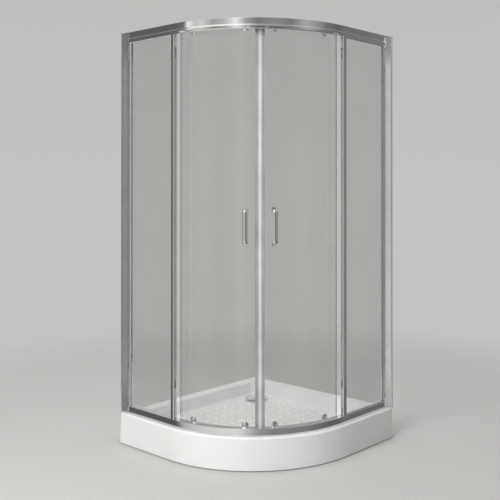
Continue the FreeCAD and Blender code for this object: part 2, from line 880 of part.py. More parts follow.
def rails():
    wall, soft = S["rail_wall"], S["rail_rounding"]
    under = bottom_ledge - wall
    cover_in = rib_in + S["cover_width"]
    lip_out = ledge_in - S["lip_wall"]
    rail("bottom_rail", [
        (face, rim),
        (slot_out, rim),
        (slot_out, under),
        (slot_in, under),
        (slot_in, rim),
        (rib_in, rim),
        (rib_in, under),
        (ledge_in - wall, under),
        (ledge_in - wall, rim),
        (ledge_in, rim),
        (ledge_in, bottom_ledge + S["lip_wall"]),
        (lip_out, bottom_ledge + S["lip_wall"]),
        (lip_out, bottom_ledge),
        (rib_in, bottom_ledge),
        (rib_in, bottom_rail_top - wall),
        (cover_in, bottom_rail_top - wall),
        (cover_in, bottom_rail_top - soft, soft, LEFT),
        (cover_in - soft, bottom_rail_top),
        (slot_in, bottom_rail_top),
        (slot_in, bottom_ledge),
        (slot_out, bottom_ledge),
        (slot_out, bottom_rail_top),
        (face + soft, bottom_rail_top, soft, LEFT),
        (face, bottom_rail_top - soft),
    ])
    ceiling = roof - wall
    roof_in = rib_in + S["top_roof"]
    bead_top = top_rail_foot + S["bead_height"]
    rail("top_rail", [
        (face, top_rail_foot),
        (slot_out, top_rail_foot),
        (slot_out, ceiling),
        (slot_in, ceiling),
        (slot_in, top_rail_foot),
        (rib_in, top_rail_foot),
        (rib_in, top_ledge - wall),
        (ledge_in, top_ledge - wall),
        (ledge_in, top_ledge + S["ledge_lip"]),
        (lip_out, top_ledge + S["ledge_lip"]),
        (lip_out, top_ledge),
        (rib_in, top_ledge),
        (rib_in, ceiling),
        (roof_in, ceiling),
        (roof_in, roof - soft, soft, LEFT),
        (roof_in - soft, roof),
        (face + soft, roof, soft, LEFT),
        (face, roof - soft),
        (face, bead_top, S["bead_radius"], LEFT),
    ])


def infill():
    """Strips that close the glazing slots across the doorway."""
    start = post_near - half

    def band(low, high, label):
        outer, inner = S["corner_radius"] - slot_out, S["corner_radius"] - slot_in
        loop = [
            (start, slot_out - half),
            (bend_x, slot_out - half, outer, LEFT),
            (half - slot_out, bend_y),
            (half - slot_out, -start),
            (half - slot_in, -start),
            (half - slot_in, bend_y, inner, RIGHT),
            (bend_x, slot_in - half),
            (start, slot_in - half),
        ]
        return extrude(label, [loop], low, high)

    low = band(bottom_rail_top - S["infill_height"], bottom_rail_top, "infill_bottom")
    high = band(top_rail_foot, top_rail_foot + S["infill_height"], "infill_top")
    node(group("infill_strips", [low, high]))


def wall_channel():
    """Fixed to the wall through four holes, with a wing along it; the panel slides in to take up lean."""
    play, wall = S["channel_play"], S["channel_wall"]
    outer, inner = face - play, frame_in + play
    depth, base = S["channel_depth"], S["channel_base"]
    wing, nose = S["wing_wall"], S["wing_nose"]
    tip = outer - wall - S["wing_reach"]
    loop = [
        (ZERO, tip, nose, LEFT),
        (nose, tip + nose),
        (wing, tip + nose * 2),
        (wing, outer - wall),
        (depth, outer - wall),
        (depth, outer),
        (base, outer),
        (base, inner),
        (depth, inner),
        (depth, inner + wall),
        (ZERO, inner + wall),
    ]
    blank = place_left(extrude("channel_blank", [loop], rim, roof - S["channel_cap"]))
    middle = (face + frame_in) / 2 - half
    spread = channel_reach - S["wall_hole_end"]
    hole_shares = (-1, -1 / 3, 1 / 3, 1)
    tools = [
        cylinder(f"channel_hole_{i}", S["wall_hole"], base + S["overrun"] * 2, -half - S["overrun"], middle,
                 channel_middle + spread * share, "x")
        for i, share in enumerate(hole_shares, 1)
    ]
    tools += [
        cylinder(f"channel_slot_{i}", S["screw_radius"] + S["screw_hole_play"], wall * 2,
                 S["screw_place"] - half, inner - half - wall / 2, z, "y")
        for i, z in enumerate(screw_heights, 1)
    ]
    pair(cut("channel_cut", blank, fuse("channel_tools", *tools)), "wall_channel")
    cap = box(
        "channel_cap_first", -half, outer - wall - half, roof - S["channel_cap"],
        depth, inner + wall * 2 - outer, S["channel_cap"],
    )
    node(group("channel_caps", [cap, mirror(cap, "channel_cap_second")]))


channel_middle = (rim + roof - S["channel_cap"]) / 2
channel_reach = (roof - S["channel_cap"] - rim) / 2
screw_spread = channel_reach - S["screw_end"]
screw_heights = (channel_middle - screw_spread, channel_middle, channel_middle + screw_spread)


def side_stile():
    """Hollow profile that slides in the wall channel and holds the fixed glass."""
    back, reach, wall = S["stile_back"], S["stile_reach"], S["frame_wall"]
    soft = S["frame_rounding"]
    slot_end = reach - slot_depth
    loop = [
        (back, face),
        (reach - soft, face, soft, LEFT),
        (reach, face + soft),
        (reach, slot_out),
        (slot_end, slot_out),
        (slot_end, slot_in),
        (reach, slot_in),
        (reach, frame_in),
        (back, frame_in),
    ]
    chamber = box_loop(back + wall, face + wall, slot_end - wall, frame_in - wall)
    blank = place_left(extrude("stile_blank", [loop, chamber], bottom_rail_top, top_rail_foot))
    tools = [
        cylinder(f"stile_hole_{i}", S["screw_radius"], wall * 2, S["screw_place"] - half,
                 frame_in - half - wall * 3 / 2, z, "y")
        for i, z in enumerate(screw_heights, 1)
    ]
    pair(cut("stile_cut", blank, fuse("stile_tools", *tools)), "side_stile")


def post():
    """Profile on the free edge of the fixed glass, with a bulb seal towards the door."""
    wall, soft = S["frame_wall"], S["post_rounding"]
    slot_end = post_far + slot_depth
    loop = [
        (post_far, face),
        (post_near - soft, face, soft, LEFT),
        (post_near, face + soft),
        (post_near, frame_in - soft, soft, LEFT),
        (post_near - soft, frame_in),
        (post_far, frame_in),
        (post_far, slot_in),
        (slot_end, slot_in),
        (slot_end, slot_out),
        (post_far, slot_out),
    ]
    chamber = box_loop(post_far + wall, slot_in + wall, post_near - wall, frame_in - wall)
    pair(place_left(extrude("post_blank", [loop, chamber], bottom_rail_top, top_rail_foot)), "post")
    middle = (post_far + post_near) / 2
    side, base = S["bulb_width"] / 2, S["bulb_base"]
    bulb = [
        (middle - side, frame_in),
        (middle + side, frame_in),
        (middle + side, frame_in + base, S["bulb_radius"], LEFT),
        (middle - side, frame_in + base),
    ]
    seal = place_left(extrude("post_seal_first", [bulb], bottom_rail_top, top_rail_foot))
    node(group("post_seals", [seal, mirror(seal, "post_seal_second")]))


def fixed_panel():
    """Flat glass in the slots of rails, stile and post, with a glazing seal round its edges."""
    lip, show = S["seal_lip"], S["seal_show"]
    glass = box(
        "fixed_pane", glass_start - half, slot_out + lip - half, glass_foot,
        glass_end - glass_start, S["glass"], glass_head - glass_foot,
    )
    pair(glass, "fixed_glass")
    outside = box(
        "glazing_outside", glass_start - lip - half, slot_out - half, glass_foot - lip,
        glass_end - glass_start + lip * 2, slot_in - slot_out, glass_head - glass_foot + lip * 2,
    )
    left, low = S["stile_reach"] + show, bottom_rail_top + show
    window = box(
        "glazing_window", left - half, face - half, low,
        post_far - show - left, S["frame_depth"], top_rail_foot - show - low,
    )
    seal = cut("glazing_cut", outside, fuse("glazing_tools", window, glass))
    pair(seal, "glazing_seal")


def plugs():
    """Blocks that locate stiles and posts in the rails' glazing slots."""
    play = S["plug_play"]
    width = slot_in - slot_out - play * 2
    thick = S["plug_room"] - play * 2
    reach = S["plug_reach"]
    seats = (
        ("stile", S["stile_reach"] - slot_depth + play),
        ("post", post_far + slot_depth - S["plug_room"] + play),
    )
    items = []
    for name, place_x in seats:
        levels = (
            ("low", bottom_ledge, bottom_rail_top + reach - bottom_ledge),
            ("high", top_rail_foot - reach, reach + S["glass_head"]),
        )
        for level, z, height in levels:
            label = f"plug_{name}_{level}"
            block = box(label, place_x - half, slot_out + play - half, z, thick, width, height)
            items += [block, mirror(block, f"{label}_twin")]
    node(group("frame_plugs", items))


def adjusting_screws():
    """Screws from inside the shower that fix each stile in its wall channel, under push-on caps."""
    seat = frame_in + S["channel_play"] + S["channel_wall"]
    head, height = S["screw_head"], S["screw_head_height"]
    shank, wall = S["screw_radius"], S["cap_wall"]
    screw = [
        (ZERO, -S["screw_length"]),
        (shank, -S["screw_length"]),
        (shank, ZERO),
        (head, ZERO),
        (head, height),
        (ZERO, height),
    ]
    cap = [
        (head, ZERO),
        (head + wall, ZERO),
        (head + wall, height),
        (head, height + wall),
        (ZERO, height + wall),
        (ZERO, height),
        (head, height),
    ]
    screws, caps = [], []
    for i, z in enumerate(screw_heights, 1):
        for name, loop, items in (("adjusting_screw", screw, screws), ("screw_cap", cap, caps)):
            item = turned(f"{name}_{i}", loop)
            item.Placement = FreeCAD.Placement(
                FreeCAD.Vector(), FreeCAD.Rotation(FreeCAD.Vector(1, 0, 0), -90)
            )
            place(item, S["screw_place"] - half, seat - half, z)
            items += [item, mirror(item, f"{name}_{i}_twin")]
    node(group("adjusting_screws", screws))
    node(group("screw_caps", caps))


def turned_about_axis(x, y):
    """Plan place of a point of the left door with the door fully open."""
    axis_x, axis_y = bend_x - S["axis_back"], bend_y + S["axis_in"]
    c, s = cosine(S["open_angle"]), sine(S["open_angle"])
    dx, dy = x - axis_x, y - axis_y
    return axis_x + dx * c + dy * s, axis_y - dx * s + dy * c


def door_stops():
    """Rubber blocks on the top ledge where the outer wheels end their run."""
    turn = -(S["diagonal_angle"] + S["outer_roller_angle"])
    x, y = turned_about_axis(bend_x + track_radius * cosine(turn), bend_y + track_radius * sine(turn))
    end = x - S["top_wheel_radius"] - S["stop_gap"]
    low = rib_in - half
    block = box(
        "door_stop_first", end - S["stop_length"], low, top_ledge,
        S["stop_length"], S["ledge_width"] - S["lip_wall"], S["stop_height"],
    )
    node(group("door_stops", [block, mirror(block, "door_stop_second")]))


hubs = [
    (f"{level}_{name}", S[f"{name}_roller_angle"], hub, axle, S[f"{level}_wheel_radius"])
    for level, hub, axle in (
        ("top", door_high - S["top_hub"], top_axle),
        ("bottom", door_low + S["bottom_hub"], bottom_axle),
    )
    for name in ("outer", "inner")
]
handle_legs = [S["handle_height"] + S["handle_span"] / 2, S["handle_height"] - S["handle_span"] / 2]


def arc_angle(length, radius):
    """Angle at the bend's centre over a short run along the glass, in degrees."""
    turn = length / radius
    return Size(math.degrees(math.asin(turn.number)), f"(asin({turn.text}) / (1 deg))")


def door_glass():
    """Curved pane, bored for the roller hubs and the handle."""
    edge = arc_angle(S["meeting_gap"] + S["meeting_width"] - S["meeting_grip"], door_outer)
    end = S["diagonal_angle"] + arc_angle(S["door_lap"], door_outer)
    section = box_loop(door_inner, door_low, door_outer, door_high)
    pane = turned("door_pane", section, angle=end - edge)
    place(pane, bend_x, bend_y, ZERO, -(S["diagonal_angle"] + end))
    start = door_inner - S["overrun"]
    length = S["glass"] + S["overrun"] * 2
    bores = []
    for name, angle, z, axle, radius in hubs:
        bores.append(place_polar(peg(f"bore_{name}", S["hub_hole"], length), start, angle, z))
    for i, z in enumerate(handle_legs, 1):
        bore = peg(f"bore_handle_{i}", S["handle_hole"], length)
        bores.append(place_polar(bore, start, S["handle_angle"], z))
    pane_bored = cut("pane_bored", pane, fuse("pane_bores", *bores))
    pair(pane_bored, "door_glass")
    return pane


def door_seals(pane):
    """Meeting seal with its magnet strip, and the fin seal on the trailing edge."""
    low, high = door_low, door_high
    middle = (door_inner + door_outer) / 2
    thick = S["meeting_thickness"] / 2
    gap, width = S["meeting_gap"], S["meeting_width"]
    cover = S["magnet_cover"]
    magnet_loop = box_loop(
        middle - S["magnet_thickness"] / 2, -(gap + cover + S["magnet_width"]),
        middle + S["magnet_thickness"] / 2, -(gap + cover),
    )
    outline = box_loop(middle - thick, -(gap + width), middle + thick, -gap)
    blank = place_polar(extrude("meeting_blank", [outline, magnet_loop], low, high), ZERO, ZERO)
    pair(cut("meeting_cut", blank, pane), "magnet_seal")
    pair(place_polar(extrude("magnet_bar", [magnet_loop], low, high), ZERO, ZERO), "magnet_strip")

    end = straight - S["door_lap"]
    wall = S["trailing_wall"]
    outer, inner = S["door_inset"] - wall, S["door_inset"] + S["glass"] + wall
    loop = [
        (end - wall, outer),
        (end - wall, S["trailing_tip"]),
        (end - wall + S["trailing_fin"], S["trailing_tip"]),
        (end - wall + S["trailing_fin"], outer),
        (end - wall + S["trailing_width"], outer),
        (end - wall + S["trailing_width"], inner),
        (end - wall, inner),
    ]
    fin_low = bottom_rail_top + S["trailing_play"]
    fin_high = top_ledge - S["rail_wall"] - S["trailing_play"]
    fin = place_left(extrude("trailing_blank", [loop], fin_low, fin_high))
    pair(cut("trailing_cut", fin, pane), "trailing_seal")


def handle():
    """Bow handle, screwed on through the glass from inside."""
    reach, bend, span = S["handle_reach"], S["handle_bend"], S["handle_span"] / 2
    wide, soft = S["handle_width"] / 2, S["handle_thickness"] / 2
    start = S["handle_washer"]
    path = [
        (start, -span),
        (reach - bend, -span, bend, LEFT),
        (reach, bend - span),
        (reach, span - bend, bend, LEFT),
        (reach - bend, span),
        (start, span),
    ]
    crown = (wide * wide + soft * soft) / (soft * 2)
    section = [
        (-wide, -span, crown, LEFT),
        (wide, -span, crown, LEFT),
    ]
    bow = pipe("handle_bow", section, "YZ_Plane", start, path, "XZ_Plane")
    place_polar(bow, door_outer, S["handle_angle"], S["handle_height"])
    bores, fixings = [], []
    depth = S["handle_bolt_depth"]
    for i, z in enumerate(handle_legs, 1):
        bore = peg(f"handle_bore_{i}", S["handle_bolt"], depth)
        bores.append(place_polar(bore, door_outer + start, S["handle_angle"], z))
        inside = door_inner - S["handle_washer"]
        knob, knob_height = S["handle_knob_radius"], S["handle_knob_height"]
        screw = [
            (-knob_height, ZERO),
            (start + S["glass"] + S["handle_washer"] + depth, ZERO),
            (start + S["glass"] + S["handle_washer"] + depth, S["handle_bolt"]),
            (ZERO, S["handle_bolt"]),
            (ZERO, knob),
            (-knob_height / 2, knob),
            (-knob_height, knob / 2),
        ]
        screw_form = turned(f"handle_screw_{i}", screw, "H_Axis")
        fixings.append(place_polar(screw_form, inside, S["handle_angle"], z))
        thin = S["handle_washer"] - S["curve_play"]
        for side, at, thickness in (("outer", door_outer, S["handle_washer"]), ("inner", inside, thin)):
            ring = plate(
                f"handle_washer_{side}_{i}", [],
                [(ZERO, ZERO, S["handle_washer_radius"]), (ZERO, ZERO, S["handle_bolt"])], thickness,
            )
            fixings.append(place_polar(ring, at, S["handle_angle"], z))
    pair(cut("handle_cut", bow, fuse("handle_bores", *bores)), "handle")
    pair(group("handle_fixings_all", fixings), "handle_fixings")


def roller_hardware():
    """Four hubs on each door: a capped bolt through the glass, a bracket inside, an axle and its wheel."""
    brackets, bolts, nuts, washers, axles = [], [], [], [], []
    wide = S["bracket_width"] / 2
    for name, angle, hub, axle, wheel_radius in hubs:
        low, high = (hub, axle) if name.startswith("top") else (axle, hub)
        rise = high - low
        loop = [
            (wide, ZERO),
            (wide, rise, wide, LEFT),
            (ZERO, rise + wide, wide, LEFT),
            (-wide, rise),
            (-wide, ZERO, wide, LEFT),
            (ZERO, -wide, wide, LEFT),
        ]
        top = name.startswith("top")
        holes = [
            (ZERO, ZERO, S["hub_radius"] if top else S["axle_radius"]),
            (ZERO, rise, S["axle_radius"] if top else S["hub_radius"]),
        ]
        bracket = plate(f"bracket_{name}", [loop], holes, S["bracket_thickness"])
        brackets.append(place_polar(bracket, bracket_inner, angle, low))

        nut_height, cap_edge = S["hub_nut_height"], S["hub_cap_edge"]
        stack = door_outer - bracket_inner
        shank_end = -(nut_height - S["hub_nut_wall"])
        cap, dome = S["hub_cap_radius"], S["hub_cap_height"] - cap_edge
        sphere = (cap * cap + dome * dome) / (dome * 2)
        bolt = [
            (shank_end, ZERO),
            (stack + cap_edge + dome, ZERO, sphere, LEFT),
            (stack + cap_edge, cap),
            (stack, cap),
            (stack, S["hub_radius"]),
            (shank_end, S["hub_radius"]),
        ]
        bolts.append(place_polar(turned(f"hub_bolt_{name}", bolt, "H_Axis"), bracket_inner, angle, hub))
        nut_out = S["hub_nut_radius"]
        cup = [
            (-nut_height, ZERO),
            (shank_end, ZERO),
            (shank_end, S["hub_radius"]),
            (ZERO, S["hub_radius"]),
            (ZERO, nut_out),
            (shank_end, nut_out),
            (-nut_height, nut_out / 2),
        ]
        nuts.append(place_polar(turned(f"hub_nut_{name}", cup, "H_Axis"), bracket_inner, angle, hub))
        ring = plate(
            f"hub_washer_{name}", [],
            [(ZERO, ZERO, S["hub_washer_radius"]), (ZERO, ZERO, S["hub_radius"])],
            S["hub_washer"] - S["curve_play"],
        )
        washers.append(place_polar(ring, bracket_outer, angle, hub))

        collar_end = wheel_inner - S["wheel_play"] - bracket_inner
        collar_start = collar_end - S["axle_collar_width"]
        head_start = wheel_outer + S["wheel_play"] - bracket_inner
        head_end = head_start + S["axle_head_width"]
        pin, collar, head = S["axle_radius"], S["axle_collar"], S["axle_head"]
        axle_loop = [
            (ZERO, ZERO),
            (head_end, ZERO),
            (head_end, head),
            (head_start, head),
            (head_start, pin),
            (collar_end, pin),
            (collar_end, collar),
            (collar_start, collar),
            (collar_start, pin),
            (ZERO, pin),
        ]
        axles.append(place_polar(turned(f"axle_{name}", axle_loop, "H_Axis"), bracket_inner, angle, axle))

        bore, soft, broad = S["axle_radius"] + S["axle_play"], S["wheel_rounding"], S["wheel_width"]
        tread = [
            (ZERO, bore),
            (broad, bore),
            (broad, wheel_radius - soft),
            (broad - soft, wheel_radius),
            (soft, wheel_radius),
            (ZERO, wheel_radius - soft),
        ]
        wheel = turned(f"wheel_{name}", tread, "H_Axis")
        pair(place_polar(wheel, wheel_inner, angle, axle), f"{name}_wheel")
    for name, items in (
        ("roller_brackets", brackets),
        ("hub_bolts", bolts),
        ("hub_nuts", nuts),
        ("hub_washers", washers),
        ("wheel_axles", axles),
    ):
        pair(group(f"{name}_all", items), name)


tray()
board()
feet()
waste()
rails()
infill()
wall_channel()
side_stile()
post()
fixed_panel()
plugs()
adjusting_screws()
door_stops()
pane = door_glass()
door_seals(pane)
handle()
roller_hardware()
doc.recompute()

for item in doc.Objects:
    if "Invalid" in item.State or "Error" in item.State:
        raise RuntimeError(f"{item.Label} failed: {item.State}")
for item in nodes:
    shape = item.Shape
    if shape.isNull() or not shape.isValid() or not shape.Solids:
        raise RuntimeError(f"{item.Label} has no valid solid")

os.makedirs("parts", exist_ok=True)
for item in nodes:
    item.Shape.exportStep(f"parts/{item.Label}.step")
print(len(nodes), "nodes")
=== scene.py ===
import json
import math

import bmesh
import bpy
from mathutils import Matrix, Vector


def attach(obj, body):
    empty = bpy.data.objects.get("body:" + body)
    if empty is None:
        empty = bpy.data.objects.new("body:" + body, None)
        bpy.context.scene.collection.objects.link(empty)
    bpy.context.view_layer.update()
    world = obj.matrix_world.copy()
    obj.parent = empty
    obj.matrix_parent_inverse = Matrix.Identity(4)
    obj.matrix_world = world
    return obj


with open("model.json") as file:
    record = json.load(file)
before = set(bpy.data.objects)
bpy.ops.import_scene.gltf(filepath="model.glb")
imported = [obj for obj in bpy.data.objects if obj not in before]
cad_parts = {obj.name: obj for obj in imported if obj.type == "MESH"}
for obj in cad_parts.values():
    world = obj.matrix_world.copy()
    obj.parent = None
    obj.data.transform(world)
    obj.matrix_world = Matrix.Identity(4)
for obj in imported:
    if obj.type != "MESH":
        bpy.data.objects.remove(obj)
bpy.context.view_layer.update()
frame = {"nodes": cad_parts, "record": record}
nodes = frame["nodes"]
scene = bpy.context.scene
scene.view_settings.view_transform = "Standard"


# Node tree helpers

# most noise values lie between these two
NOISE_LOW, NOISE_HIGH = 0.3, 0.7


def new_material(name):
    """A new material, its tree, and its main shader, which is joined to the output."""
    made = bpy.data.materials.new(name)
    made.use_nodes = True
    tree = made.node_tree
    tree.nodes.clear()
    output = tree.nodes.new("ShaderNodeOutputMaterial")
    shader = tree.nodes.new("ShaderNodeBsdfPrincipled")
    tree.links.new(shader.outputs["BSDF"], output.inputs["Surface"])
    return made, tree, shader


def show_instead(tree, surface):
    """Join another shader to the material's output, in place of the main one."""
    output = next(item for item in tree.nodes if item.type == "OUTPUT_MATERIAL")
    tree.links.new(surface, output.inputs["Surface"])


def place_in_object(tree, scale=(1, 1, 1)):
    """Object coordinates in metres, stretched by scale."""
    coordinates = tree.nodes.new("ShaderNodeTexCoord")
    mapping = tree.nodes.new("ShaderNodeMapping")
    mapping.inputs["Scale"].default_value = scale
    tree.links.new(coordinates.outputs["Object"], mapping.inputs["Vector"])
    return mapping.outputs["Vector"]


def noise(tree, vector, scale, detail):
    """A cloudy value that changes from place to place."""
    made = tree.nodes.new("ShaderNodeTexNoise")
    made.inputs["Scale"].default_value = scale
    made.inputs["Detail"].default_value = detail
    made.inputs["Roughness"].default_value = 0.55
    tree.links.new(vector, made.inputs["Vector"])
    return made.outputs["Fac"]


def calculate(tree, operation, *values, clamp=False):
    """The result of one operation on the values, held between nought and one if clamped."""
    made = tree.nodes.new("ShaderNodeMath")
    made.operation = operation
    made.use_clamp = clamp
    for value, taken in zip(values, made.inputs):
        tree.links.new(value, taken)
    return made.outputs["Value"]


def largest(tree, *values):
    """The largest of the values."""
    found = values[0]
    for value in values[1:]:
        found = calculate(tree, "MAXIMUM", found, value)
    return found


def spread(tree, value, low, high, start=NOISE_LOW, end=NOISE_HIGH):
    """A value from start to end, as a number from low to high."""
    made = tree.nodes.new("ShaderNodeMapRange")
    made.inputs["From Min"].default_value = start
    made.inputs["From Max"].default_value = end
    made.inputs["To Min"].default_value = low
    made.inputs["To Max"].default_value = high
    tree.links.new(value, made.inputs["Value"])
    return made.outputs["Result"]


def ramp(tree, value, *stops):
    """Colours along a value: (place, colour) pairs."""
    made = tree.nodes.new("ShaderNodeValToRGB")
    elements = made.color_ramp.elements
    while len(elements) < len(stops):
        elements.new(1.0)
    for element, (where, colour) in zip(elements, stops):
        element.position = where
        element.color = (*colour, 1)
    tree.links.new(value, made.inputs["Fac"])
    return made.outputs["Color"]


def two_tones(tree, value, low, high, start=NOISE_LOW, end=NOISE_HIGH):
    """A colour that goes from low to high while the value goes from start to end."""
    return ramp(tree, value, (start, low), (end, high))


def blend(tree, share, first, second):
    """One of two shaders, or both in shares."""
    made = tree.nodes.new("ShaderNodeMixShader")
    tree.links.new(share, made.inputs[0])
    tree.links.new(first, made.inputs[1])
    tree.links.new(second, made.inputs[2])
    return made.outputs["Shader"]


def bump(tree, shader, height, strength, distance):
    """Fine relief, as deep as distance in metres at full strength."""
    made = tree.nodes.new("ShaderNodeBump")
    made.inputs["Strength"].default_value = strength
    made.inputs["Distance"].default_value = distance
    tree.links.new(height, made.inputs["Height"])
    tree.links.new(made.outputs["Normal"], shader.inputs["Normal"])


# Materials


def bright_metal(name, dull, bright, rough, lines, depth=0.01):
    """Polished metal: a faint drift in tone, hairlines along one way, a few duller water marks."""
    made, tree, shader = new_material(name)
    shader.inputs["Metallic"].default_value = 1.0
    place = place_in_object(tree)
    drift = noise(tree, place, scale=2.5, detail=2.0)
    tree.links.new(two_tones(tree, drift, dull, bright), shader.inputs["Base Color"])
    hair = noise(tree, place_in_object(tree, lines), scale=1.0, detail=2.0)
    marks = noise(tree, place, scale=55.0, detail=3.0)
    wear = calculate(tree, "MULTIPLY", marks, hair)
    tree.links.new(spread(tree, wear, *rough, start=0.2, end=0.42), shader.inputs["Roughness"])
    bump(tree, shader, hair, strength=depth, distance=0.0001)
    return made


def sanitary_acrylic():
    """Gloss white sheet: a faint warm drift in the white, a wavy gloss, a clear top layer."""
    made, tree, shader = new_material("gloss_acrylic")
    place = place_in_object(tree)
    drift = noise(tree, place, scale=3.0, detail=3.0)
    white = two_tones(tree, drift, (0.80, 0.80, 0.79), (0.84, 0.84, 0.835), start=0.35, end=0.65)
    tree.links.new(white, shader.inputs["Base Color"])
    smear = noise(tree, place, scale=24.0, detail=5.0)
    tree.links.new(spread(tree, smear, 0.14, 0.26), shader.inputs["Roughness"])
    shader.inputs["Coat Weight"].default_value = 0.4
    shader.inputs["Coat Roughness"].default_value = 0.06
    waves = noise(tree, place, scale=60.0, detail=1.0)
    bump(tree, shader, waves, strength=0.04, distance=0.0006)
    return made


def clear_glass():
    """Toughened glass with a faint grey-green body and dried drops; lamps shine through it."""
    made, tree, shader = new_material("clear_glass")
    haze = noise(tree, place_in_object(tree), scale=5.0, detail=4.0)
    body = two_tones(tree, haze, (0.725, 0.74, 0.73), (0.755, 0.765, 0.757))
    tree.links.new(body, shader.inputs["Base Color"])
    drops = noise(tree, place_in_object(tree, (1, 1, 0.4)), scale=160.0, detail=2.0)
    dried = spread(tree, drops, 0.0, 0.035, start=0.55, end=0.8)
    tree.links.new(dried, shader.inputs["Roughness"])
    shader.inputs["Transmission Weight"].default_value = 1.0
    shader.inputs["IOR"].default_value = 1.5
    path = tree.nodes.new("ShaderNodeLightPath")
    through = tree.nodes.new("ShaderNodeBsdfTransparent")
    through.inputs["Color"].default_value = (0.97, 0.98, 0.975, 1)
    shadow = path.outputs["Is Shadow Ray"]
    show_instead(tree, blend(tree, shadow, shader.outputs["BSDF"], through.outputs["BSDF"]))
    return made


def moulded(name, low, high, rough, grain, depth):
    """Moulded or extruded plastic and rubber: mottled tone, fine grain."""
    made, tree, shader = new_material(name)
    place = place_in_object(tree)
    mottle = noise(tree, place, scale=40.0, detail=4.0)
    tree.links.new(two_tones(tree, mottle, low, high), shader.inputs["Base Color"])
    tree.links.new(spread(tree, mottle, *rough), shader.inputs["Roughness"])
    bump(tree, shader, noise(tree, place, scale=grain, detail=2.0), strength=depth, distance=0.0003)
    return made


def painted_meeting_highlight(tree, colour, highlight_width):
    """Painted highlight where the doors meet: full colour near that plane, falling to half, as painted
    shade, from half the width to the whole width off it.
    """
    square_to_plane = (math.sqrt(0.5), math.sqrt(0.5), 0)
    across = tree.nodes.new("ShaderNodeVectorMath")
    across.operation = "DOT_PRODUCT"
    across.inputs[1].default_value = square_to_plane
    tree.links.new(place_in_object(tree), across.inputs[0])
    aside = calculate(tree, "ABSOLUTE", across.outputs["Value"])
    shade = tree.nodes.new("ShaderNodeVectorMath")
    shade.operation = "SCALE"
    tree.links.new(colour, shade.inputs[0])
    tree.links.new(spread(tree, aside, 1.0, 0.5, start=highlight_width / 2, end=highlight_width), shade.inputs["Scale"])
    return shade.outputs["Vector"]


def soft_seal(name, low, high, cover, gloss=0.5, highlight_width=0.0):
    """Translucent extruded strip: fine lines along its length, a faint milky drift, and cover as its alpha.

    A width in metres about the doors' meeting plane keeps its full colour there, as a painted highlight;
    further off, the colour falls to half, as painted shade.
    """
    thin, thick = 0.15, 0.40
    made, tree, shader = new_material(name)
    drift = noise(tree, place_in_object(tree), scale=6.0, detail=2.0)
    lines = noise(tree, place_in_object(tree, (700, 700, 1.5)), scale=1.0, detail=2.0)
    cloud = calculate(tree, "MULTIPLY", drift, lines)
    milk = two_tones(tree, cloud, low, high, thin, thick)
    # painted highlight along the doors' meeting line, with painted shade on the strip's sides
    if highlight_width:
        milk = painted_meeting_highlight(tree, milk, highlight_width)
    tree.links.new(milk, shader.inputs["Base Color"])
    tree.links.new(spread(tree, lines, 0.22, 0.34), shader.inputs["Roughness"])
    tree.links.new(spread(tree, cloud, *cover, thin, thick), shader.inputs["Alpha"])
    shader.inputs["IOR"].default_value = 1.45
    shader.inputs["Specular IOR Level"].default_value = gloss
    bump(tree, shader, lines, strength=0.03, distance=0.0003)
    return made


def chipboard():
    """Pressed wood flakes."""
    made, tree, shader = new_material("chipboard")
    flakes = tree.nodes.new("ShaderNodeTexVoronoi")
    flakes.inputs["Scale"].default_value = 220.0
    tree.links.new(place_in_object(tree), flakes.inputs["Vector"])
    tone = tree.nodes.new("ShaderNodeSeparateColor")
    tree.links.new(flakes.outputs["Color"], tone.inputs["Color"])
    dark, middle, light = (0.30, 0.19, 0.10), (0.50, 0.35, 0.20), (0.66, 0.50, 0.32)
    wood = ramp(tree, tone.outputs["Red"], (0.0, dark), (0.5, middle), (1.0, light))
    tree.links.new(wood, shader.inputs["Base Color"])
    fibre = spread(tree, tone.outputs["Green"], 0.65, 0.9, start=0.0, end=1.0)
    tree.links.new(fibre, shader.inputs["Roughness"])
    bump(tree, shader, flakes.outputs["Distance"], strength=0.3, distance=0.0006)
    return made


def profile_metal(name, lines):
    """Bright aluminium, with its hairlines along the profile."""
    return bright_metal(name, (0.80, 0.805, 0.81), (0.87, 0.875, 0.88), rough=(0.03, 0.09), lines=lines)


